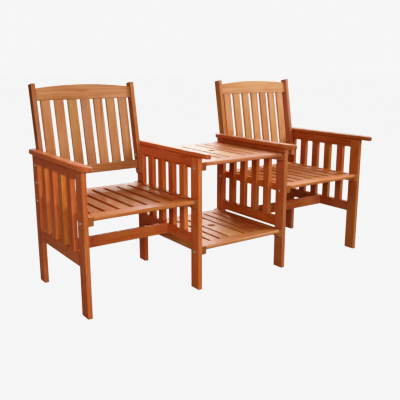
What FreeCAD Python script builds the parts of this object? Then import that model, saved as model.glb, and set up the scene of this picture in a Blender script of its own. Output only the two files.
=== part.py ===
import FreeCAD, Part
import os
import math
from FreeCAD import Vector, Placement, Rotation

# Companion seat bench: two slatted armchairs joined by a slatted table with a
# lower shelf. Millimetres, +Z up, +X along the length, -Y is the front.
# Origin: on the floor, on the axis of the two parasol holes.

# ---------------------------------------------------------------- dimensions
# side frames (four alike: outer left, inner left, inner right, outer right)
FRAME_T = 21.0          # thickness of legs, rails and slats of a side frame, along X
LEG_W = 60.0            # leg width, along Y
FRAME_D = 540.0         # front of the front leg to the back of the rear leg
LEG_H = 598.0           # leg height, up to the underside of the armrest
BAY_TABLE = 480.0       # clear width between the two inner frames
BAY_SEAT = 510.0        # clear width between the frames of one chair
UPPER_RAIL_Z = (556.0, 598.0)
LOWER_RAIL_Z = (206.0, 256.0)
FRAME_SLATS = 4
FRAME_SLAT_W = 41.0
Y_FRONT = -262.5        # front face of the front legs

# armrests
ARM_T = 22.0
ARM_OVER = 19.0         # overhang past the frame, on the side away from the seat
ARM_FRONT = 65.0        # overhang past the front leg
ARM_BACK = 8.0          # overhang past the rear leg
ARM_NOSE_X = 26.5       # half axes of the long rounding at the outer front corner
ARM_NOSE_Y = 80.0
ARM_R_BACK = 30.0       # plan radius, outer back corner
ARM_R_IN_FRONT = 12.5
ARM_R_IN_BACK = 9.0
ARM_R_EDGE = 6.5        # rounding of the upper and lower edges

# seats, table top and shelf (flush slatted panels held by two side rails)
PANEL_T = 18.0
SIDE_W = 22.0           # side rail thickness, along X
SIDE_H = 37.0           # side rail height
SIDE_LEN = 532.0        # side rail length, along Y
FRONT_W = 57.0          # front rail width, along Y
BACK_Y = (465.0, 511.0) # back rail, measured from the front of the legs
SEAT_Z = 415.0          # top faces
TABLE_Z = 577.0
SHELF_Z = 200.0
SEAT_SLATS = 7
SEAT_SLAT_W = 48.0
TABLE_SLATS = 6         # three each side of the centre board
TABLE_SLAT_W = 42.0
TABLE_CENTRE_W = 78.0
PARASOL_R = 20.0

# stretchers
STRETCH_Y = (254.0, 274.0)

# backrests, in a plane leaning back
LEAN = 10.0             # degrees from the vertical
BACK_Y0 = 465.1         # front face of the stiles at the height BACK_Z0
BACK_Z0 = 400.0
STILE_T = 20.0          # along X
STILE_D = 42.0          # through the backrest
STILE_S = (63.0, 512.5) # start and end, measured up the lean from BACK_Z0
BRAIL_T = 20.0          # rail thickness
BRAIL_D = 14.0          # front of the rails behind the front of the stiles
BRAIL_LOW = (91.5, 133.5)
BRAIL_TOP = 438.8
ARCH_END = 492.0        # top edge of the top rail where it meets the stiles
ARCH_MID = 507.5        # and at its middle
BACK_SLATS = 7
BACK_SLAT_W = 44.0
BACK_SLAT_T = 15.0

# joinery
TENON_T = 10.0
TENON_L = 28.0
STUB = 11.0
FIT = 0.15              # glue gap round a tenon
ARRIS = 2.6             # rounding of the long edges of legs and stiles
ARRIS_S = 1.8           # rounding of the long edges of rails and slats
ARRIS_F = 1.0           # rounding of the side frame slats

# hardware
BOLT_R = 3.0
BORE_R = 3.25
HEAD_R = 7.0
HEAD_T = 2.8
WASHER_R = 5.4
WASHER_T = 1.2
NUT_AF = 10.0
NUT_T = 5.0
BOLT_Y_FRONT = 34.0
BOLT_Y_REAR = 504.0
BOLT_ABOVE = 9.5        # bolt axis above the lower edge of a side rail
SCREW_R = 2.2
SCREW_HEAD_R = 4.8
SCREW_L = 58.0
DOWEL_R = 4.0
DOWEL_L = 34.0
DOWEL_Y = (16.0, 90.0, 450.0, 524.0)    # from the front of the legs

OUT = "parts"
os.makedirs(OUT, exist_ok=True)


# ------------------------------------------------------------------- helpers
def box(x0, x1, y0, y1, z0, z1):
    return Part.makeBox(x1 - x0, y1 - y0, z1 - z0, Vector(x0, y0, z0))


def cyl(r, p, q):
    p, q = Vector(*p), Vector(*q)
    d = q - p
    return Part.makeCylinder(r, d.Length, p, d)


def edges_along(shape, axis, test=None):
    """Straight edges parallel to an axis (0, 1, 2) that pass a test on the midpoint."""
    out = []
    for e in shape.Edges:
        if len(e.Vertexes) != 2:
            continue
        a, b = e.Vertexes[0].Point, e.Vertexes[1].Point
        d = b - a
        if d.Length < 1e-6 or abs(abs((d.x, d.y, d.z)[axis]) - d.Length) > 1e-6:
            continue
        m = (a + b) * 0.5
        if test is None or test(m):
            out.append(e)
    return out


def loop_at(shape, z, tol=1e-3):
    """Edges that lie in the plane at height z."""
    out = []
    for e in shape.Edges:
        bb = e.BoundBox
        if abs(bb.ZMin - z) < tol and abs(bb.ZMax - z) < tol:
            out.append(e)
    return out


def board(x0, x1, y0, y1, z0, z1, along, r):
    """Plank with its four long edges rounded."""
    s = box(x0, x1, y0, y1, z0, z1)
    return s.makeFillet(r, edges_along(s, along))


def one(shape):
    """The single clean solid of a result."""
    shape = shape.removeSplitter()
    assert len(shape.Solids) == 1, len(shape.Solids)
    return shape.Solids[0]


def cut_boxes(shape, boxes):
    for b in boxes:
        shape = shape.cut(box(*b))
    return one(shape)


def write(name, shapes):
    for s in shapes:
        assert s.isValid(), name
        assert s.ShapeType == "Solid", (name, s.ShapeType)
        assert s.Volume > 0, name
    shape = shapes[0] if len(shapes) == 1 else Part.makeCompound(shapes)
    shape.exportStep(os.path.join(OUT, name + ".step"))
    total = sum(s.Volume for s in shapes)
    NODES.append((name, len(shapes), total))
    SHAPES[name] = shape


NODES = []
SHAPES = {}

# ------------------------------------------------------------ layout values
XI = BAY_TABLE / 2.0                    # table side face of the inner frames
XO = XI + FRAME_T + BAY_SEAT            # seat side face of the outer frames
FRAMES = {                              # left face of each frame, seat side
    "outer_left": (-XO - FRAME_T, +1),
    "inner_left": (-XI - FRAME_T, -1),
    "inner_right": (XI, +1),
    "outer_right": (XO, -1),
}
YF = Y_FRONT
SIN, COS = math.sin(math.radians(LEAN)), math.cos(math.radians(LEAN))
BACK_PL = Placement(Vector(0, YF + BACK_Y0, BACK_Z0), Rotation(Vector(1, 0, 0), -LEAN))


def lean_point(x, d, s):
    """From backrest coordinates (x, depth, height along the lean) to the part frame."""
    return (x, YF + BACK_Y0 + d * COS + s * SIN, BACK_Z0 - d * SIN + s * COS)


def lean_y(z, d):
    """Y of the plane at depth d in the backrest, at height z."""
    return YF + BACK_Y0 + (z - BACK_Z0) * math.tan(math.radians(LEAN)) + d / COS


SEAT_BOLT_Z = SEAT_Z - SIDE_H + BOLT_ABOVE
TABLE_BOLT_Z = TABLE_Z - SIDE_H + BOLT_ABOVE
SHELF_BOLT_Z = SHELF_Z - SIDE_H + BOLT_ABOVE
STILE_BOLT_LOW_Z = 472.0
STILE_BOLT_LOW_Y = lean_y(STILE_BOLT_LOW_Z, STILE_D / 2.0)
STILE_BOLT_UP_Z = TABLE_BOLT_Z
STILE_BOLT_UP_Y = lean_y(STILE_BOLT_UP_Z, STILE_D / 2.0)
Y1, Y2 = YF + BOLT_Y_FRONT, YF + BOLT_Y_REAR

# every bolt: (kind, head face x, direction to the nut, grip length, y, z)
BOLTS = []
for frame, (xl, seat_side) in FRAMES.items():
    # bolts through the seat side rails: head on the face away from the seat
    away = xl if seat_side > 0 else xl + FRAME_T
    for y in (Y1, Y2):
        BOLTS.append(("frame", away, seat_side, FRAME_T + SIDE_W, y, SEAT_BOLT_Z))
    BOLTS.append(("frame", away, seat_side, FRAME_T + STILE_T, STILE_BOLT_LOW_Y, STILE_BOLT_LOW_Z))
    if frame.startswith("outer"):
        BOLTS.append(("frame", away, seat_side, FRAME_T + STILE_T, STILE_BOLT_UP_Y, STILE_BOLT_UP_Z))
    else:
        # bolts through the table and shelf side rails: head on the seat side
        toward = xl if seat_side < 0 else xl + FRAME_T
        BOLTS.append(("frame", toward, -seat_side, FRAME_T + SIDE_W, Y1, TABLE_BOLT_Z))
        BOLTS.append(("frame", toward, -seat_side, FRAME_T + SIDE_W, Y1, SHELF_BOLT_Z))
        BOLTS.append(("frame", toward, -seat_side, FRAME_T + SIDE_W, Y2, SHELF_BOLT_Z))
        # one long bolt holds stile, leg and table side rail together
        BOLTS.append(("long", toward + seat_side * STILE_T, -seat_side,
                      STILE_T + FRAME_T + SIDE_W, STILE_BOLT_UP_Y, STILE_BOLT_UP_Z))

BORES = [cyl(BORE_R, (hx - d * 4.0, y, z), (hx + d * (g + 4.0), y, z))
         for _, hx, d, g, y, z in BOLTS]
STRETCH_MID = YF + sum(STRETCH_Y) / 2.0
SCREWS = []                              # (head face x, direction, y, z)
for frame, (xl, seat_side) in FRAMES.items():
    away = xl if seat_side > 0 else xl + FRAME_T
    for z in (LOWER_RAIL_Z[0] + 13.0, LOWER_RAIL_Z[1] - 13.0):
        SCREWS.append((away, seat_side, STRETCH_MID, z))


def screw_hole(hx, d, y, z):
    hole = cyl(SCREW_R + 0.05, (hx, y, z), (hx + d * (SCREW_L + 1.0), y, z))
    sink = Part.makeCone(SCREW_HEAD_R + 0.3, SCREW_R + 0.05, 3.6, Vector(hx, y, z), Vector(d, 0, 0))
    lip = cyl(SCREW_HEAD_R + 0.3, (hx - d * 1.0, y, z), (hx + d * 0.01, y, z))
    return hole.fuse(sink).fuse(lip)


SCREW_HOLES = [screw_hole(*s) for s in SCREWS]


def drill(shape, tools):
    bb = shape.BoundBox
    for t in tools:
        if bb.intersect(t.BoundBox):
            shape = shape.cut(t)
    return one(shape)


# ------------------------------------------------------------- side frames
def frame_tenon(z0, z1, at_front, xl):
    """Tenon of a side frame rail, as a box."""
    x0 = xl + (FRAME_T - TENON_T) / 2.0
    if at_front:
        y0, y1 = YF + LEG_W - TENON_L, YF + LEG_W
    else:
        y0, y1 = YF + FRAME_D - LEG_W, YF + FRAME_D - LEG_W + TENON_L
    return (x0, x0 + TENON_T, y0, y1, z0 + 7.0, z1 - 7.0)


FRAME_GAP = (FRAME_D - 2 * LEG_W - FRAME_SLATS * FRAME_SLAT_W) / (FRAME_SLATS + 1)
DOWELS = []


def armrest(xl, seat_side):
    """Armrest outline with rounded corners, flush with the frame on the seat side."""
    if seat_side > 0:
        xin, xout = xl + FRAME_T, xl - ARM_OVER
    else:
        xin, xout = xl, xl + FRAME_T + ARM_OVER
    s = 1.0 if xin > xout else -1.0
    yf, yb = YF - ARM_FRONT, YF + FRAME_D + ARM_BACK
    c = math.sqrt(0.5)

    def corner(px, py, r, dx, dy):
        """Arc round the corner (px, py); dx, dy point from the corner into the board."""
        cx, cy = px + dx * r, py + dy * r
        return (Vector(px, cy, 0), Vector(cx - dx * r * c, cy - dy * r * c, 0), Vector(cx, py, 0))

    cx, cy = xout + s * ARM_NOSE_X, yf + ARM_NOSE_Y
    side, front = Vector(xout, cy, 0), Vector(cx, yf, 0)
    nose = Part.ArcOfEllipse(Part.Ellipse(front, side, Vector(cx, cy, 0)), 0.0, math.pi / 2.0)
    inf = corner(xin, yf, ARM_R_IN_FRONT, -s, 1)
    inb = corner(xin, yb, ARM_R_IN_BACK, -s, -1)
    ob = corner(xout, yb, ARM_R_BACK, s, -1)
    es = [
        nose.toShape(),
        Part.LineSegment(front, inf[2]).toShape(),
        Part.Arc(inf[2], inf[1], inf[0]).toShape(),
        Part.LineSegment(inf[0], inb[0]).toShape(),
        Part.Arc(inb[0], inb[1], inb[2]).toShape(),
        Part.LineSegment(inb[2], ob[2]).toShape(),
        Part.Arc(ob[2], ob[1], ob[0]).toShape(),
        Part.LineSegment(ob[0], side).toShape(),
    ]
    w = Part.Wire(es)
    a = Part.Face(w).extrude(Vector(0, 0, ARM_T))
    a.translate(Vector(0, 0, LEG_H))
    return a.makeFillet(ARM_R_EDGE, loop_at(a, LEG_H) + loop_at(a, LEG_H + ARM_T))


for frame, (xl, seat_side) in FRAMES.items():
    xr = xl + FRAME_T
    yin0, yin1 = YF + LEG_W, YF + FRAME_D - LEG_W
    (u0, u1), (l0, l1) = UPPER_RAIL_Z, LOWER_RAIL_Z
    tenons = {
        "front": [frame_tenon(u0, u1, True, xl), frame_tenon(l0, l1, True, xl)],
        "rear": [frame_tenon(u0, u1, False, xl), frame_tenon(l0, l1, False, xl)],
    }
    # dowels that hold the armrest on the legs and the upper rail
    spots = [(xl + FRAME_T / 2.0, YF + y) for y in DOWEL_Y]
    holes = [cyl(DOWEL_R + 0.05, (x, y, LEG_H - 20.5), (x, y, LEG_H + 14.5)) for x, y in spots]
    for x, y in spots:
        d = cyl(DOWEL_R, (x, y, LEG_H - 20.0), (x, y, LEG_H - 20.0 + DOWEL_L))
        DOWELS.append(one(d.makeChamfer(0.8, [e for e in d.Edges if e.Curve.TypeId == "Part::GeomCircle"])))
    for which, y0, y1 in (("front", YF, YF + LEG_W), ("rear", YF + FRAME_D - LEG_W, YF + FRAME_D)):
        leg = box(xl, xr, y0, y1, 0, LEG_H)
        leg = leg.makeFillet(ARRIS, edges_along(leg, 2))
        leg = leg.makeChamfer(1.5, loop_at(leg, 0.0))
        ms = []
        for (a0, a1, b0, b1, c0, c1) in tenons[which]:
            deep = (-1.0, 0.0) if which == "front" else (0.0, 1.0)
            ms.append((a0 - FIT, a1 + FIT, b0 + deep[0], b1 + deep[1], c0 - FIT, c1 + FIT))
        leg = cut_boxes(leg, ms)
        leg = drill(leg, holes + BORES)
        write("%s_%s_leg" % (frame, which), [leg])
    # rails with a tenon at each end and a row of small mortises for the slats
    slat_y = [yin0 + FRAME_GAP + i * (FRAME_SLAT_W + FRAME_GAP) for i in range(FRAME_SLATS)]
    stub_x = (xl + 6.0, xr - 6.0)
    for name, z0, z1, k in (("upper_rail", u0, u1, 0), ("lower_rail", l0, l1, 1)):
        rail = board(xl, xr, yin0, yin1, z0, z1, 1, ARRIS_S)
        rail = rail.fuse(box(*tenons["front"][k])).fuse(box(*tenons["rear"][k]))
        rail = one(rail)
        ms = []
        for y in slat_y:
            if name == "upper_rail":
                ms.append((stub_x[0] - FIT, stub_x[1] + FIT, y + 4.0 - FIT, y + FRAME_SLAT_W - 4.0 + FIT, z0 - 1.0, z0 + STUB + 0.6))
            else:
                ms.append((stub_x[0] - FIT, stub_x[1] + FIT, y + 4.0 - FIT, y + FRAME_SLAT_W - 4.0 + FIT, z1 - STUB - 0.6, z1 + 1.0))
        rail = cut_boxes(rail, ms)
        rail = drill(rail, SCREW_HOLES if name == "lower_rail" else holes)
        write("%s_%s" % (frame, name), [rail])
    slats = []
    for y in slat_y:
        s = board(xl, xr, y, y + FRAME_SLAT_W, l1, u0, 2, ARRIS_F)
        s = s.fuse(box(stub_x[0], stub_x[1], y + 4.0, y + FRAME_SLAT_W - 4.0, l1 - STUB, u0 + STUB))
        slats.append(one(s))
    write(frame + "_slats", slats)
    arm = armrest(xl, seat_side)
    write(frame + "_armrest", [drill(arm, holes)])


# --------------------------------------------- seats, table top and shelf
def panel(prefix, xa, xb, ztop, slats_x, centre=False):
    """Slatted panel between two frames. slats_x holds (x0, x1) of each slat.
    With centre, the middle board has the parasol hole."""
    z0, z1 = ztop - PANEL_T, ztop
    yf0, yf1 = YF, YF + FRONT_W
    yb0, yb1 = YF + BACK_Y[0], YF + BACK_Y[1]
    xs0, xs1 = xa + SIDE_W, xb - SIDE_W
    tz0, tz1 = z0 + 5.0, z1 - 5.0
    # rails across
    front = box(xs0, xs1, yf0, yf1, z0, z1)
    front = front.makeFillet(6.0, edges_along(front, 0, lambda m: m.y < yf0 + 1))
    front = front.makeFillet(1.2, edges_along(front, 0, lambda m: m.y > yf1 - 1))
    back = box(xs0, xs1, yb0, yb1, z0, z1)
    back = back.makeFillet(1.2, edges_along(back, 0, lambda m: m.y < yb0 + 1))
    back = back.makeFillet(3.0, edges_along(back, 0, lambda m: m.y > yb1 - 1))
    side_mort = []
    rails = []
    for rail, ya, yb in ((front, yf0 + 10.0, yf1 - 9.0), (back, yb0 + 8.0, yb1 - 8.0)):
        rail = rail.fuse(box(xs0 - 10.0, xs0, ya, yb, tz0, tz1)).fuse(box(xs1, xs1 + 10.0, ya, yb, tz0, tz1))
        rails.append(one(rail))
        side_mort.append((xs0 - 10.6, xs0 + 1.0, ya - FIT, yb + FIT, tz0 - FIT, tz1 + FIT))
        side_mort.append((xs1 - 1.0, xs1 + 10.6, ya - FIT, yb + FIT, tz0 - FIT, tz1 + FIT))
    front, back = rails
    # slats with a stub tenon at each end
    boards = []
    mort_f, mort_b = [], []
    for x0, x1 in slats_x:
        s = board(x0, x1, yf1, yb0, z0, z1, 1, 1.6)
        s = s.fuse(box(x0 + 4.0, x1 - 4.0, yf1 - 12.0, yb0 + 12.0, tz0, tz1))
        s = one(s)
        if centre and abs((x0 + x1) / 2.0) < 1.0:
            s = one(s.cut(cyl(PARASOL_R, (0, 0, z0 - 1), (0, 0, z1 + 1))))
            rims = [e for e in s.Edges if e.Curve.TypeId == "Part::GeomCircle"
                    and abs(e.Curve.Radius - PARASOL_R) < 1e-6 and len(e.Vertexes) <= 2
                    and e.BoundBox.ZLength < 1e-3]
            s = one(s.makeFillet(1.5, rims))
        boards.append(((x0, x1), s))
        mort_f.append((x0 + 4.0 - FIT, x1 - 4.0 + FIT, yf1 - 12.6, yf1 + 1.0, tz0 - FIT, tz1 + FIT))
        mort_b.append((x0 + 4.0 - FIT, x1 - 4.0 + FIT, yb0 - 1.0, yb0 + 12.6, tz0 - FIT, tz1 + FIT))
    front = cut_boxes(front, mort_f)
    back = cut_boxes(back, mort_b)
    # side rails
    sides = []
    for x0, x1, inner in ((xa, xs0, 1), (xs1, xb, -1)):
        zb = ztop - SIDE_H
        s = box(x0, x1, YF, YF + SIDE_LEN, zb, ztop)
        xi = x1 if inner > 0 else x0
        s = s.makeFillet(5.0, edges_along(s, 1, lambda m: abs(m.x - xi) < 1e-3 and m.z < zb + 1))
        s = s.makeFillet(1.6, edges_along(s, 1, lambda m: abs(m.x - xi) > 1e-3 or m.z > zb + 8))
        ends = [e for e in s.Edges if abs(e.BoundBox.YMin - YF) < 1e-3 and abs(e.BoundBox.YMax - YF) < 1e-3]
        s = s.makeFillet(1.4, ends)
        ends = [e for e in s.Edges if abs(e.BoundBox.YMin - YF - SIDE_LEN) < 1e-3 and abs(e.BoundBox.YMax - YF - SIDE_LEN) < 1e-3]
        s = s.makeFillet(1.4, ends)
        ms = [m for m in side_mort if (m[0] < x1 and m[1] > x0)]
        s = cut_boxes(one(s), ms)
        sides.append(drill(s, BORES))
    write(prefix + "_front_rail", [front])
    write(prefix + "_back_rail", [back])
    plain = [s for (r, s) in boards if not (centre and abs(sum(r) / 2.0) < 1.0)]
    write(prefix + "_slats", plain)
    if centre:
        write(prefix + "_centre_board", [s for (r, s) in boards if abs(sum(r) / 2.0) < 1.0])
    write(prefix + "_side_rails", sides)


def seat_layout(xa, xb):
    inner = xb - xa - 2 * SIDE_W
    gap = (inner - SEAT_SLATS * SEAT_SLAT_W) / (SEAT_SLATS + 1)
    x = xa + SIDE_W + gap
    out = []
    for _ in range(SEAT_SLATS):
        out.append((x, x + SEAT_SLAT_W))
        x += SEAT_SLAT_W + gap
    return out


def table_layout(xa, xb):
    inner = xb - xa - 2 * SIDE_W
    gap = (inner - TABLE_SLATS * TABLE_SLAT_W - TABLE_CENTRE_W) / (TABLE_SLATS + 2)
    x = xa + SIDE_W + gap
    out = []
    for w in [TABLE_SLAT_W] * 3 + [TABLE_CENTRE_W] + [TABLE_SLAT_W] * 3:
        out.append((x, x + w))
        x += w + gap
    return out


panel("left_seat", -XO, -XI - FRAME_T, SEAT_Z, seat_layout(-XO, -XI - FRAME_T))
panel("right_seat", XI + FRAME_T, XO, SEAT_Z, seat_layout(XI + FRAME_T, XO))
panel("table_top", -XI, XI, TABLE_Z, table_layout(-XI, XI), centre=True)
panel("shelf", -XI, XI, SHELF_Z, table_layout(-XI, XI), centre=True)

# -------------------------------------------------------------- stretchers
for side, xa, xb in (("left", -XO, -XI - FRAME_T), ("right", XI + FRAME_T, XO)):
    s = board(xa, xb, YF + STRETCH_Y[0], YF + STRETCH_Y[1], LOWER_RAIL_Z[0], LOWER_RAIL_Z[1], 0, ARRIS_S)
    write(side + "_stretcher", [drill(s, SCREW_HOLES)])


# -------------------------------------------------------------- backrests
def to_frame(shape):
    shape = shape.copy()
    shape.Placement = BACK_PL
    return shape


for side, xa, xb in (("left", -XO, -XI - FRAME_T), ("right", XI + FRAME_T, XO)):
    s0, s1 = STILE_S
    x0, x1 = xa + STILE_T, xb - STILE_T
    d0, d1 = BRAIL_D, BRAIL_D + BRAIL_T
    td = (d0 + (BRAIL_T - TENON_T) / 2.0, d0 + (BRAIL_T + TENON_T) / 2.0)
    rail_tenons = {"lower": (BRAIL_LOW[0] + 6.0, BRAIL_LOW[1] - 6.0),
                   "top": (BRAIL_TOP + 7.0, ARCH_END - 8.0)}
    # stiles
    mort = []
    for t0, t1 in rail_tenons.values():
        mort.append((x0 - 12.6, x0 + 1.0, td[0] - FIT, td[1] + FIT, t0 - FIT, t1 + FIT))
        mort.append((x1 - 1.0, x1 + 12.6, td[0] - FIT, td[1] + FIT, t0 - FIT, t1 + FIT))
    names = ("outer", "inner") if side == "left" else ("inner", "outer")
    for name, p0, p1 in ((names[0], xa, x0), (names[1], x1, xb)):
        st = box(p0, p1, 0, STILE_D, s0, s1)
        st = st.makeFillet(13.0, edges_along(st, 0, lambda m: m.y > STILE_D - 1 and m.z < s0 + 1))
        st = st.makeFillet(ARRIS, edges_along(st, 2))
        st = st.makeFillet(3.2, loop_at(st, s1))
        st = one(st)
        st = cut_boxes(st, [m for m in mort if m[0] < p1 and m[1] > p0])
        st = to_frame(st)
        write("%s_back_%s_stile" % (side, name), [drill(st, BORES)])
    # lower rail and arched top rail
    low = board(x0, x1, d0, d1, BRAIL_LOW[0], BRAIL_LOW[1], 0, ARRIS_S)
    xm = (x0 + x1) / 2.0
    pts = [Vector(x0, d0, BRAIL_TOP), Vector(x1, d0, BRAIL_TOP), Vector(x1, d0, ARCH_END), Vector(x0, d0, ARCH_END)]
    w = Part.Wire([
        Part.LineSegment(pts[0], pts[1]).toShape(),
        Part.LineSegment(pts[1], pts[2]).toShape(),
        Part.Arc(pts[2], Vector(xm, d0, ARCH_MID), pts[3]).toShape(),
        Part.LineSegment(pts[3], pts[0]).toShape(),
    ])
    top = Part.Face(w).extrude(Vector(0, BRAIL_T, 0))
    arcs = [e for e in top.Edges if e.Curve.TypeId == "Part::GeomCircle"]
    top = top.makeFillet(3.0, arcs)
    top = top.makeFillet(ARRIS_S, edges_along(top, 0, lambda m: m.z < BRAIL_TOP + 1))
    for key in ("lower", "top"):
        t0, t1 = rail_tenons[key]
        for a, b in ((x0 - 12.0, x0), (x1, x1 + 12.0)):
            tb = box(a, b, td[0], td[1], t0, t1)
            if key == "lower":
                low = low.fuse(tb)
            else:
                top = top.fuse(tb)
    low, top = one(low), one(top)
    gap = (x1 - x0 - BACK_SLATS * BACK_SLAT_W) / (BACK_SLATS + 1)
    sd0 = d0 + (BRAIL_T - BACK_SLAT_T) / 2.0
    sd1 = sd0 + BACK_SLAT_T
    slats, m_low, m_top = [], [], []
    for i in range(BACK_SLATS):
        a = x0 + gap + i * (BACK_SLAT_W + gap)
        b = a + BACK_SLAT_W
        s = board(a, b, sd0, sd1, BRAIL_LOW[1], BRAIL_TOP, 2, ARRIS_S)
        s = s.fuse(box(a + 4.0, b - 4.0, sd0 + 4.0, sd1 - 4.0, BRAIL_LOW[1] - STUB, BRAIL_TOP + STUB))
        slats.append(to_frame(one(s)))
        m_low.append((a + 4.0 - FIT, b - 4.0 + FIT, sd0 + 4.0 - FIT, sd1 - 4.0 + FIT, BRAIL_LOW[1] - STUB - 0.6, BRAIL_LOW[1] + 1.0))
        m_top.append((a + 4.0 - FIT, b - 4.0 + FIT, sd0 + 4.0 - FIT, sd1 - 4.0 + FIT, BRAIL_TOP - 1.0, BRAIL_TOP + STUB + 0.6))
    write(side + "_back_lower_rail", [to_frame(cut_boxes(low, m_low))])
    write(side + "_back_top_rail", [to_frame(cut_boxes(top, m_top))])
    write(side + "_back_slats", slats)


# --------------------------------------------------------------- hardware
def hexagon(af, x, d, y, z, t):
    r = af / math.sqrt(3.0)
    pts = [Vector(x, y + r * math.cos(math.radians(60 * i)), z + r * math.sin(math.radians(60 * i))) for i in range(7)]
    return Part.Face(Part.makePolygon(pts)).extrude(Vector(d * t, 0, 0))


def bolt(hx, d, grip, y, z):
    """Button head with a hexagon socket, and a shank that ends just past its nut."""
    head = cyl(HEAD_R, (hx - d * HEAD_T, y, z), (hx, y, z))
    rim = [e for e in head.Edges if e.Curve.TypeId == "Part::GeomCircle"
           and abs(e.BoundBox.XMin - (hx - d * HEAD_T)) < 1e-3]
    head = head.makeFillet(1.8, rim)
    end = hx + d * (grip + WASHER_T + NUT_T + 1.5)
    shank = cyl(BOLT_R, (hx, y, z), (end, y, z))
    tip = [e for e in shank.Edges if e.Curve.TypeId == "Part::GeomCircle"
           and abs(e.BoundBox.XMin - end) < 1e-3]
    shank = shank.makeChamfer(0.7, tip)
    b = head.fuse(shank).cut(hexagon(4.0, hx - d * (HEAD_T + 0.5), d, y, z, 2.5))
    return one(b)


def washer(hx, d, grip, y, z):
    x = hx + d * grip
    w = cyl(WASHER_R, (x, y, z), (x + d * WASHER_T, y, z))
    return one(w.cut(cyl(BOLT_R + 0.15, (x - d, y, z), (x + d * (WASHER_T + 1.0), y, z))))


def nut(hx, d, grip, y, z):
    x = hx + d * (grip + WASHER_T)
    n = hexagon(NUT_AF, x, d, y, z, NUT_T)
    trim = Part.makeCone(NUT_AF / 2.0 + 0.2 + NUT_T, NUT_AF / 2.0 + 0.2, NUT_T, Vector(x, y, z), Vector(d, 0, 0))
    n = n.common(trim)
    return one(n.cut(cyl(BOLT_R, (x - d, y, z), (x + d * (NUT_T + 1.0), y, z))))


write("frame_bolts", [bolt(*b[1:]) for b in BOLTS if b[0] == "frame"])
write("table_bolts", [bolt(*b[1:]) for b in BOLTS if b[0] == "long"])
write("bolt_washers", [washer(*b[1:]) for b in BOLTS])
write("bolt_nuts", [nut(*b[1:]) for b in BOLTS])


def screw(hx, d, y, z):
    head = Part.makeCone(SCREW_HEAD_R, SCREW_R, 3.2, Vector(hx + d * 0.4, y, z), Vector(d, 0, 0))
    shank = cyl(SCREW_R, (hx + d * 3.0, y, z), (hx + d * (SCREW_L - 5.0), y, z))
    tip = Part.makeCone(SCREW_R, 0.4, 5.0, Vector(hx + d * (SCREW_L - 5.0), y, z), Vector(d, 0, 0))
    s = head.fuse(shank).fuse(tip)
    a, b = 1.0, 5.6
    for w, h in ((a, b), (b, a)):
        x0 = hx + d * 0.2
        x1 = hx + d * 2.0
        s = s.cut(box(min(x0, x1), max(x0, x1), y - w / 2.0, y + w / 2.0, z - h / 2.0, z + h / 2.0))
    return one(s)


write("stretcher_screws", [screw(*s) for s in SCREWS])
write("armrest_dowels", DOWELS)

for name, n, v in NODES:
    print("%-30s %3d solids %12.0f mm3" % (name, n, v))
print(len(NODES), "nodes,", sum(n for _, n, _ in NODES), "solids, mass about",
      round(sum(v for _, _, v in NODES) * 6.4e-7, 1), "kg")
whole = Part.makeCompound([s for s in SHAPES.values()])
bb = whole.BoundBox
print("box", [round(v, 1) for v in (bb.XMin, bb.XMax, bb.YMin, bb.YMax, bb.ZMin, bb.ZMax)])
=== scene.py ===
import math
import bpy
from mathutils import Matrix, Vector


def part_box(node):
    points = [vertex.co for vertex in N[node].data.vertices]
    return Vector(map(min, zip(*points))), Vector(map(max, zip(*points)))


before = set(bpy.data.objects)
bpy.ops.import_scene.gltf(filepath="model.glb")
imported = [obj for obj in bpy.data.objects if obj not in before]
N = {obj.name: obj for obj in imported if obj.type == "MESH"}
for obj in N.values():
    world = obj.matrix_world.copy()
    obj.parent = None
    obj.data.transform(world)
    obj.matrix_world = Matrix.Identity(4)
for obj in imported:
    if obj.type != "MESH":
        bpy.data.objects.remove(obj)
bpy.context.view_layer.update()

# Companion seat bench. All the pieces come from the CAD frame and keep their
# meshes; this script gives each one its finish, and adds the floor, the light
# and the camera. Metres, +Z up, the origin on the floor under the parasol hole.


MM = 0.001


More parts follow.
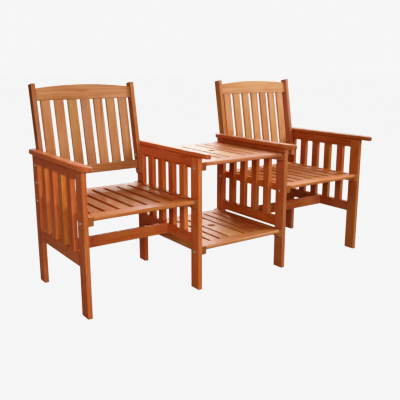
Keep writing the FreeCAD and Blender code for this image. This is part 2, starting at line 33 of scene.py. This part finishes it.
# ------------------------------------------------------------ node shorthand
class Graph:
    """Builds a shader tree with short calls. A value can be a number, a tuple or a socket."""

    def __init__(self, name):
        self.mat = bpy.data.materials.new(name)
        self.mat.use_nodes = True
        self.t = self.mat.node_tree
        self.t.nodes.clear()

    def new(self, kind, **props):
        n = self.t.nodes.new(kind)
        for k, v in props.items():
            setattr(n, k, v)
        return n

    def put(self, socket, v):
        if isinstance(v, bpy.types.NodeSocket):
            self.t.links.new(v, socket)
        elif v is not None:
            if hasattr(socket, "default_value") and hasattr(socket.default_value, "__len__") and not hasattr(v, "__len__"):
                v = (v,) * len(socket.default_value)
            if socket.type == "RGBA" and len(v) == 3:
                v = (*v, 1.0)
            socket.default_value = v

    def math(self, op, a, b=None, c=None, clamp=False):
        n = self.new("ShaderNodeMath", operation=op, use_clamp=clamp)
        for i, v in enumerate((a, b, c)):
            if v is not None:
                self.put(n.inputs[i], v)
        return n.outputs[0]

    def vmath(self, op, a, b=None, scale=None):
        n = self.new("ShaderNodeVectorMath", operation=op)
        self.put(n.inputs[0], a)
        if b is not None:
            self.put(n.inputs[1], b)
        if scale is not None:
            self.put(n.inputs["Scale"], scale)
        return n.outputs["Value"] if op in ("DOT_PRODUCT", "LENGTH", "DISTANCE") else n.outputs["Vector"]

    def xyz(self, v):
        n = self.new("ShaderNodeSeparateXYZ")
        self.put(n.inputs[0], v)
        return n.outputs[0], n.outputs[1], n.outputs[2]

    def vec(self, x, y, z):
        n = self.new("ShaderNodeCombineXYZ")
        for i, v in enumerate((x, y, z)):
            self.put(n.inputs[i], v)
        return n.outputs[0]

    def noise(self, v, scale=1.0, detail=2.0, rough=0.5, distort=0.0, out=0):
        n = self.new("ShaderNodeTexNoise", noise_dimensions="3D")
        self.put(n.inputs["Vector"], v)
        self.put(n.inputs["Scale"], scale)
        self.put(n.inputs["Detail"], detail)
        self.put(n.inputs["Roughness"], rough)
        self.put(n.inputs["Distortion"], distort)
        return n.outputs[out]

    def white(self, v):
        n = self.new("ShaderNodeTexWhiteNoise", noise_dimensions="3D")
        self.put(n.inputs["Vector"], v)
        return n.outputs["Value"], n.outputs["Color"]

    def remap(self, v, a, b, c=0.0, d=1.0, smooth=True):
        n = self.new("ShaderNodeMapRange", interpolation_type="SMOOTHSTEP" if smooth else "LINEAR", clamp=True)
        for i, s in enumerate((v, a, b, c, d)):
            self.put(n.inputs[i], s)
        return n.outputs[0]

    def mix(self, f, a, b, kind="MIX"):
        n = self.new("ShaderNodeMix", data_type="RGBA", blend_type=kind, clamp_factor=True)
        self.put(n.inputs[0], f)
        self.put(n.inputs[6], a)
        self.put(n.inputs[7], b)
        return n.outputs[2]

    def hsv(self, color, h=0.5, s=1.0, v=1.0):
        n = self.new("ShaderNodeHueSaturation")
        self.put(n.inputs["Hue"], h)
        self.put(n.inputs["Saturation"], s)
        self.put(n.inputs["Value"], v)
        self.put(n.inputs["Color"], color)
        return n.outputs[0]

    def bump(self, height, strength, distance, normal=None):
        n = self.new("ShaderNodeBump")
        self.put(n.inputs["Strength"], strength)
        self.put(n.inputs["Distance"], distance)
        self.put(n.inputs["Height"], height)
        if normal is not None:
            self.put(n.inputs["Normal"], normal)
        return n.outputs[0]

    def principled(self, **inputs):
        n = self.new("ShaderNodeBsdfPrincipled")
        for k, v in inputs.items():
            self.put(n.inputs[k.replace("_", " ")], v)
        out = self.new("ShaderNodeOutputMaterial")
        self.t.links.new(n.outputs[0], out.inputs[0])
        return n


# ------------------------------------------------------------------- palette
WOOD_LIGHT = (0.590, 0.240, 0.122)
WOOD_MID = (0.465, 0.151, 0.060)
WOOD_DARK = (0.280, 0.069, 0.022)
WOOD_GOLD = (0.550, 0.236, 0.075)
WOOD_PINK = (0.550, 0.204, 0.125)


def wood(name, origin, along, across, size, seed, pitch=None, pair=False, mirrored=None, tint=(1, 1, 1), value=1.0, rough=0.34,
         spread=0.08, odd=None):
    """Oiled hardwood for one board, or for a row of like boards.
    origin: middle of the board (of the first one in a row, of the pair's middle plane for a pair).
    along, across: unit vectors of the grain and of the width; size: (length, width, thickness).
    pitch: distance from one board of the row to the next, along the width; pair: (offset) two boards mirrored;
    odd: (number, tint) of the one board of a row that stands out."""
    g = Graph(name)
    a, w = Vector(along).normalized(), Vector(across).normalized()
    t = a.cross(w)
    tc = g.new("ShaderNodeTexCoord").outputs["Object"]
    p = g.vmath("SUBTRACT", tc, tuple(origin))
    u = g.vmath("DOT_PRODUCT", p, tuple(a))
    v = g.vmath("DOT_PRODUCT", p, tuple(w))
    s = g.vmath("DOT_PRODUCT", p, tuple(t))
    L, W, T = size
    if pitch:
        k = g.math("FLOOR", g.math("DIVIDE", g.math("ADD", v, pitch / 2), pitch))
        v = g.math("SUBTRACT", v, g.math("MULTIPLY", k, pitch))
    elif pair:
        k = g.math("GREATER_THAN", v, 0.0)
        v = g.math("SUBTRACT", g.math("ABSOLUTE", v), pair)
    elif mirrored:
        first, step = mirrored
        far = g.math("SUBTRACT", g.math("ABSOLUTE", v), first)
        k = g.math("FLOOR", g.math("DIVIDE", g.math("ADD", far, step / 2), step))
        k = g.math("MULTIPLY_ADD", g.math("GREATER_THAN", v, 0.0), 7.0, k)
        v = g.math("SUBTRACT", far, g.math("MULTIPLY", g.math("FLOOR", g.math("DIVIDE", g.math("ADD", far, step / 2), step)), step))
    else:
        k = 0.0
    rv, rc = g.white(g.vec(k, seed * 0.731, seed * 0.117))
    r1, r2, r3 = g.xyz(rc)
    # a different piece of timber for every board
    off = g.vmath("MULTIPLY", rc, (9.0, 4.0, 5.0))
    q = g.vmath("ADD", g.vec(u, v, s), off)
    # slow wander of the fibres
    wob = g.noise(g.vmath("MULTIPLY", q, (2.6, 9.0, 9.0)), 1.0, 2.0, 0.5, out=1)
    wob = g.vmath("SUBTRACT", wob, (0.5, 0.5, 0.5))
    qw = g.vmath("ADD", q, g.vmath("MULTIPLY", wob, (0.0, 0.022, 0.022)))
    _, qv, qs = g.xyz(g.vmath("SUBTRACT", qw, off))
    # growth rings round a pith that lies beside the board
    py = g.math("ADD", qv, g.math("MULTIPLY", g.math("SUBTRACT", r1, 0.5), 0.10))
    ps = g.math("ADD", qs, g.math("ADD", 0.028, g.math("MULTIPLY", r2, 0.07)))
    rad = g.math("SQRT", g.math("ADD", g.math("POWER", py, 2.0), g.math("POWER", ps, 2.0)))
    ring = g.math("SINE", g.math("MULTIPLY", rad, 2 * math.pi / 0.0065))
    ring = g.math("MULTIPLY_ADD", ring, 0.5, 0.5)
    ring = g.math("POWER", ring, 1.6)
    # broad streaks, fine fibres and pores, all drawn out along the grain
    streak = g.noise(g.vmath("MULTIPLY", qw, (4.5, 170.0, 170.0)), 1.0, 3.0, 0.55)
    fibre = g.noise(g.vmath("MULTIPLY", qw, (16.0, 620.0, 620.0)), 1.0, 3.0, 0.6)
    pore = g.noise(g.vmath("MULTIPLY", qw, (75.0, 1500.0, 1500.0)), 1.0, 1.0, 0.5)
    pore = g.remap(pore, 0.60, 0.72)
    blotch = g.noise(g.vmath("MULTIPLY", q, (5.0, 14.0, 14.0)), 1.0, 2.0, 0.5)
    blotch2 = g.noise(g.vmath("MULTIPLY", q, (2.3, 6.0, 6.0)), 1.0, 1.0, 0.5)

    tone = g.math("MULTIPLY_ADD", g.math("SUBTRACT", streak, 0.5), 0.70, 0.55)
    tone = g.math("MULTIPLY_ADD", g.math("SUBTRACT", fibre, 0.5), 0.55, tone)
    tone = g.math("MULTIPLY_ADD", g.math("SUBTRACT", ring, 0.4), -0.16, tone)
    tone = g.math("MULTIPLY_ADD", g.math("SUBTRACT", blotch, 0.5), 0.70, tone, clamp=True)
    col = g.mix(g.remap(tone, 0.0, 0.5, 0.0, 1.0, smooth=False), WOOD_DARK, WOOD_MID)
    col = g.mix(g.remap(tone, 0.45, 1.0, 0.0, 1.0, smooth=False), col, WOOD_LIGHT)
    # some boards and some stretches are more golden, others pinker
    warm = g.math("ADD", g.math("MULTIPLY", g.math("SUBTRACT", r3, 0.5), 0.9), g.math("MULTIPLY", g.math("SUBTRACT", blotch2, 0.5), 2.4))
    col = g.mix(g.remap(warm, 0.0, 1.1, 0.0, 0.55), col, WOOD_GOLD)
    col = g.mix(g.remap(warm, 0.0, -1.1, 0.0, 0.55), col, WOOD_PINK)
    col = g.mix(g.math("MULTIPLY", pore, 0.35), col, (0.12, 0.030, 0.010))

    if odd:
        col = g.mix(g.math("COMPARE", k, float(odd[0]), 0.1), col, g.vmath("MULTIPLY", col, odd[1]))

    # paler arrises, part wear and part painted highlight where the rounded edges catch the light, and a darker
    # line where a board meets its neighbour
    dv = g.math("SUBTRACT", W / 2, g.math("ABSOLUTE", v))
    ds = g.math("SUBTRACT", T / 2, g.math("ABSOLUTE", s))
    du = g.math("SUBTRACT", L / 2, g.math("ABSOLUTE", u))
    rim_wear_and_highlight = g.remap(g.math("MAXIMUM", dv, ds), 0.0002, 0.0032, 1.0, 0.0)
    rub = g.noise(g.vmath("MULTIPLY", q, (28.0, 160.0, 160.0)), 1.0, 3.0, 0.6)
    rim_wear_and_highlight = g.math("MULTIPLY", rim_wear_and_highlight, g.remap(rub, 0.34, 0.66, 0.25, 1.0))
    # painted highlight mixed with wear: the arrises are painted paler
    col = g.mix(g.math("MULTIPLY", rim_wear_and_highlight, 0.30), col, (0.68, 0.38, 0.20))
    seam = g.remap(du, 0.0002, 0.0018, 1.0, 0.0)
    col = g.mix(g.math("MULTIPLY", seam, 0.45), col, (0.085, 0.022, 0.008))

    gain = g.math("MULTIPLY", value, g.math("MULTIPLY_ADD", g.math("SUBTRACT", rv, 0.5), 2 * spread, 1.0))
    col = g.vmath("MULTIPLY", col, tuple(tint))
    col = g.vmath("SCALE", col, scale=gain)

    ro = g.math("MULTIPLY_ADD", g.math("SUBTRACT", streak, 0.5), 0.22, rough)
    ro = g.math("MULTIPLY_ADD", pore, 0.18, ro)
    ro = g.math("MULTIPLY_ADD", rim_wear_and_highlight, -0.05, ro)
    hgt = g.math("MULTIPLY_ADD", fibre, 0.5, g.math("MULTIPLY", streak, 0.6))
    hgt = g.math("MULTIPLY_ADD", pore, -0.55, hgt)
    nrm = g.bump(hgt, 0.30, 0.00022)
    g.principled(Base_Color=col, Roughness=ro, Normal=nrm, Specular_IOR_Level=0.5, IOR=1.28)
    return g.mat


def steel(name, seed):
    """Zinc-plated steel with a dull yellowish passivation and fine turning marks."""
    g = Graph(name)
    tc = g.new("ShaderNodeTexCoord").outputs["Object"]
    n1 = g.noise(g.vmath("ADD", tc, (seed, 0, 0)), 900.0, 3.0, 0.6)
    n2 = g.noise(tc, 160.0, 2.0, 0.5)
    col = g.mix(n2, (0.72, 0.65, 0.52), (0.53, 0.48, 0.38))
    col = g.mix(g.remap(n1, 0.55, 0.75), col, (0.42, 0.36, 0.28))
    ro = g.math("MULTIPLY_ADD", n1, 0.25, 0.32)
    g.principled(Base_Color=col, Metallic=0.75, Roughness=ro, Normal=g.bump(n1, 0.25, 0.0001))
    return g.mat


def paint(node, mat):
    o = N[node]
    o.data.materials.clear()
    o.data.materials.append(mat)


# ------------------------------------------------------- geometry of the rows
X, Y, Z = Vector((1, 0, 0)), Vector((0, 1, 0)), Vector((0, 0, 1))
LEAN = math.radians(10.0)
UP = Vector((0, math.sin(LEAN), math.cos(LEAN)))


def middle(node):
    lo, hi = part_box(node)
    return (Vector(lo) + Vector(hi)) / 2, Vector(hi) - Vector(lo)


seed = 1
AX = {"X": X, "Y": Y, "Z": Z}


# How the boards of a part are painted apart from ordinary ones: their value, then redder (+) or more tan (-),
# then pinker (+) or more golden (-).
# Some of this is the timber's own tone, much of it painted light and shade: parts that catch more light or sheen
# are painted paler, parts in shade darker. The first word that is in the node's name counts, and the rest is
# ordinary.
TONE_AND_PAINTED_LIGHT = (
    ("centre_board", (1.5, -0.2, 0.1)),     # the two boards with the parasol hole are the palest: painted light and sheen
    # the stiles a little more tan and pink: painted sheen on their front faces
    ("_stile", (1.0, -0.1, 0.1)),
    ("left_back_", (1.2, -0.2, 0.1)),       # the backs are paler and more tan than the frames: painted sheen on their front faces
    # the right back paler still: painted light, as more light falls on the right chair
    ("right_back_", (1.4, -0.2, 0.1)),
    # the seat slats darker: painted shade of the back reflected in the seat
    ("seat_slats", (0.9, 0.0, -0.1)),
    ("seat_", (1.1, 0.0, -0.1)),
    # the shelf paler: painted light reaching it under the table top
    ("shelf_", (1.2, -0.1, 0.0)),
    ("table_top_", (1.0, 0.0, 0.0)),
    # the outer right frame darker: painted shade
    ("outer_right_", (0.8, 0.0, 0.0)),
    ("left_", (1.1, 0.1, 0.0)),             # the frames of the left chair are a little redder
)


def tone_and_painted_light(node):
    value, red, pink = next((t for word, t in TONE_AND_PAINTED_LIGHT if word in node), (1.0, 0.0, 0.0))
    return dict(value=value, tint=(math.exp(red), math.exp(-0.5 * red - 0.25 * pink), math.exp(pink - 0.5 * red)))


def simple(node, along, across, **kw):
    """One board whose box is its own size."""
    global seed
    c, d = middle(node)
    a, w = AX[along], AX[across]
    t = a.cross(w)
    size = (abs(d.dot(a)), abs(d.dot(w)), abs(d.dot(t)))
    cut = kw.pop("tenons", 0.0)
    size = (size[0] - 2 * cut, size[1], size[2])
    seed += 1
    paint(node, wood("wood_" + node, c, a, w, size, seed, **tone_and_painted_light(node), **kw))


TABLE_FIRST = (0.0390 + 0.01325 + 0.0210, 0.05525)  # X of the first board beside the centre one, and the step


def row(node, a, w, count, width, rest, mid=(None, None, None), mirrored=None, odd=None):
    """A row of like boards side by side along w, each with grain of its own."""
    global seed
    seed += 1
    c, d = middle(node)
    c = Vector([m if m is not None else v for m, v in zip(mid, c)])
    size = (rest[0], width, rest[1])
    if mirrored:
        first, step = mirrored
        paint(node, wood("wood_" + node, c, a, w, size, seed, mirrored=(first, step), **tone_and_painted_light(node)))
        return
    step = (d.dot(w) - width) / (count - 1)
    paint(node, wood("wood_" + node, c - w * step * (count - 1) / 2, a, w, size, seed, pitch=step, odd=odd,
                     **tone_and_painted_light(node)))


FRAMES = ("outer_left", "inner_left", "inner_right", "outer_right")
for f in FRAMES:
    for leg in ("front_leg", "rear_leg"):
        simple(f"{f}_{leg}", "Z", "Y")
    simple(f"{f}_upper_rail", "Y", "Z", tenons=0.028)
    simple(f"{f}_lower_rail", "Y", "Z", tenons=0.028)
    simple(f"{f}_armrest", "Y", "X")
    row(f"{f}_slats", Z, Y, 4, 0.041, (0.300, 0.021), mid=(None, None, 0.406),
        odd=(1, (1.0, 1.14, 0.85)) if f == "outer_left" else None)

for sname in ("left_seat", "right_seat"):
    simple(f"{sname}_front_rail", "X", "Y", tenons=0.010)
    simple(f"{sname}_back_rail", "X", "Y", tenons=0.010)
    row(f"{sname}_slats", Y, X, 7, 0.048, (0.408, 0.018))
    c, d = middle(f"{sname}_side_rails")
    seed += 1
    paint(f"{sname}_side_rails", wood(f"wood_{sname}_side_rails", c, Y, X, (0.532, 0.022, 0.037), seed, pair=d.x / 2 - 0.011,
                                      **tone_and_painted_light(f"{sname}_side_rails")))

for sname in ("table_top", "shelf"):
    simple(f"{sname}_front_rail", "X", "Y", tenons=0.010)
    simple(f"{sname}_back_rail", "X", "Y", tenons=0.010)
    simple(f"{sname}_centre_board", "Y", "X", tenons=0.012)
    # three boards on each side of the centre one
    row(f"{sname}_slats", Y, X, 3, 0.042, (0.408, 0.018), mirrored=TABLE_FIRST)
    c, d = middle(f"{sname}_side_rails")
    seed += 1
    paint(f"{sname}_side_rails", wood(f"wood_{sname}_side_rails", c, Y, X, (0.532, 0.022, 0.037), seed, pair=d.x / 2 - 0.011,
                                      **tone_and_painted_light(f"{sname}_side_rails")))

for side in ("left", "right"):
    simple(f"{side}_stretcher", "X", "Z")
    for part in ("outer_stile", "inner_stile"):
        c, d = middle(f"{side}_back_{part}")
        seed += 1
        paint(f"{side}_back_{part}", wood(f"wood_{side}_back_{part}", c, UP, X, (0.4495, 0.020, 0.042), seed,
                                                  **tone_and_painted_light(f"{side}_back_{part}")))
    for part, wdt in (("lower_rail", 0.042), ("top_rail", 0.069)):
        c, d = middle(f"{side}_back_{part}")
        seed += 1
        paint(f"{side}_back_{part}", wood(f"wood_{side}_back_{part}", c, X, UP, (0.472, wdt, 0.020), seed,
                                                  **tone_and_painted_light(f"{side}_back_{part}")))
    row(f"{side}_back_slats", UP, X, 7, 0.044, (0.3053, 0.015))

for n in ("frame_bolts", "table_bolts", "bolt_washers", "bolt_nuts", "stretcher_screws"):
    seed += 1
    paint(n, steel("steel_" + n, seed))
c, d = middle("armrest_dowels")
paint("armrest_dowels", wood("wood_dowels", c, Z, X, (0.034, 0.008, 0.008), 99, tint=(1.2, 1.5, 1.8)))

# ------------------------------------------------------------- floor, lights
# The picture's tone: a soft toe and shoulder, as a print has. Scene light is in
# units of 1 / SPAN, so that the whole of it falls inside the curve.
SPAN = 6.0
TOE, TOE_POWER, SHOULDER = 0.0827, 1.60, 4.0


def tone(x):
    x = max(x, 1e-9)
    z = x * x ** TOE_POWER / (x ** TOE_POWER + TOE ** TOE_POWER)
    return z / (1.0 + z ** SHOULDER) ** (1.0 / SHOULDER)


def untone(y):
    lo, hi = 0.0, 50.0
    for _ in range(60):
        mid = (lo + hi) / 2
        lo, hi = (mid, hi) if tone(mid) < y else (lo, mid)
    return lo


PALE = untone(0.9216) / SPAN

S = 60.0
floor_mesh = bpy.data.meshes.new("floor")
floor_mesh.from_pydata([(-S, -S, 0), (S, -S, 0), (S, S, 0), (-S, S, 0)], [], [(0, 1, 2, 3)])
floor = bpy.data.objects.new("floor", floor_mesh)
bpy.context.scene.collection.objects.link(floor)
g = Graph("pale_floor")
em = g.new("ShaderNodeEmission")
g.put(em.inputs["Color"], (PALE, PALE, PALE, 1.0))
g.put(em.inputs["Strength"], 1.03)
df = g.new("ShaderNodeBsdfDiffuse")
g.put(df.inputs["Color"], (0.22, 0.22, 0.22, 1.0))
lp = g.new("ShaderNodeLightPath")
mx = g.new("ShaderNodeMixShader")
g.t.links.new(g.math("MULTIPLY", lp.outputs["Is Camera Ray"], 0.94), mx.inputs[0])
g.t.links.new(df.outputs[0], mx.inputs[1])
g.t.links.new(em.outputs[0], mx.inputs[2])
out = g.new("ShaderNodeOutputMaterial")
g.t.links.new(mx.outputs[0], out.inputs[0])
floor_mesh.materials.append(g.mat)

AIM = Vector((0.0, 0.0, 0.4))


def soft(azimuth, elevation, size, radiance, lift=None):
    """A round soft box 4.5 m from the bench; azimuth is clockwise from +Y, seen from above."""
    a, e = math.radians(azimuth), math.radians(elevation)
    d = bpy.data.lights.new(f"soft_{azimuth}_{elevation}", "AREA")
    d.shape = "DISK"
    d.size = size
    d.energy = radiance / SPAN * math.pi * math.pi * (size / 2) ** 2
    o = bpy.data.objects.new(d.name, d)
    o.location = AIM + 4.5 * Vector((math.sin(a) * math.cos(e), math.cos(a) * math.cos(e), math.sin(e)))
    if elevation == 8:
        o.location.z += 0.5
    o.rotation_euler = (AIM - o.location).to_track_quat("-Z", "Y").to_euler()
    o.visible_camera = False
    bpy.context.scene.collection.objects.link(o)


for azimuth, elevation, size, radiance in (
    (10, 3, 1.5, 0.64), (5, 15, 1.7, 1.08), (30, 32, 2.0, 17.2), (60, 32, 2.0, 6.64),
    (150, 8, 2.2, 1.11), (210, 8, 2.2, 9.0), (240, 8, 2.2, 3.0), (300, 8, 2.2, 0.25),
    (120, 35, 2.6, 11.0), (0, 80, 3.0, 3.4),
):
    soft(azimuth, elevation, size, radiance)

world = bpy.data.worlds.new("studio")
bpy.context.scene.world = world
world.use_nodes = True
wt = world.node_tree
wt.nodes.clear()
bgc = wt.nodes.new("ShaderNodeBackground")
bgc.inputs[0].default_value = (PALE, PALE, PALE, 1.0)
bgl = wt.nodes.new("ShaderNodeBackground")
bgl.inputs[0].default_value = (0.002, 0.002, 0.002, 1.0)
wlp = wt.nodes.new("ShaderNodeLightPath")
wmx = wt.nodes.new("ShaderNodeMixShader")
wo = wt.nodes.new("ShaderNodeOutputWorld")
wt.links.new(wlp.outputs["Is Camera Ray"], wmx.inputs[0])
wt.links.new(bgl.outputs[0], wmx.inputs[1])
wt.links.new(bgc.outputs[0], wmx.inputs[2])
wt.links.new(wmx.outputs[0], wo.inputs[0])

# -------------------------------------------------------------------- camera
cam_data = bpy.data.cameras.new("camera")
cam_data.sensor_width = 36.0
cam_data.sensor_fit = "HORIZONTAL"
cam_data.lens = 565.222 / 400.0 * 36.0
cam = bpy.data.objects.new("camera", cam_data)
yaw, pitch, roll = math.radians(35.0324), math.radians(-13.2498), math.radians(-0.0621)
fwd = Vector((math.sin(yaw) * math.cos(pitch), math.cos(yaw) * math.cos(pitch), math.sin(pitch)))
right = Vector((math.cos(yaw), -math.sin(yaw), 0))
up = right.cross(fwd)
r2 = math.cos(roll) * right + math.sin(roll) * up
u2 = -math.sin(roll) * right + math.cos(roll) * up
m = Matrix((r2, u2, -fwd)).transposed().to_4x4()
m.translation = Vector((-1.6156066, -1.9439772 - 0.2625, 0.9736277))
cam.matrix_world = m
bpy.context.scene.collection.objects.link(cam)
bpy.context.scene.camera = cam

vs = bpy.context.scene.view_settings
vs.view_transform = "Standard"
vs.look = "None"
vs.use_curve_mapping = True
cm = vs.curve_mapping
cm.tone = "STANDARD"
cm.extend = "HORIZONTAL"
c = cm.curves[3]
for i in range(1, 40):
    x = (i / 40.0) ** 2.2
    c.points.new(x, tone(x * SPAN))
c.points[-1].location = (1.0, tone(SPAN))
for pt in c.points:
    pt.handle_type = "VECTOR"
cm.update()
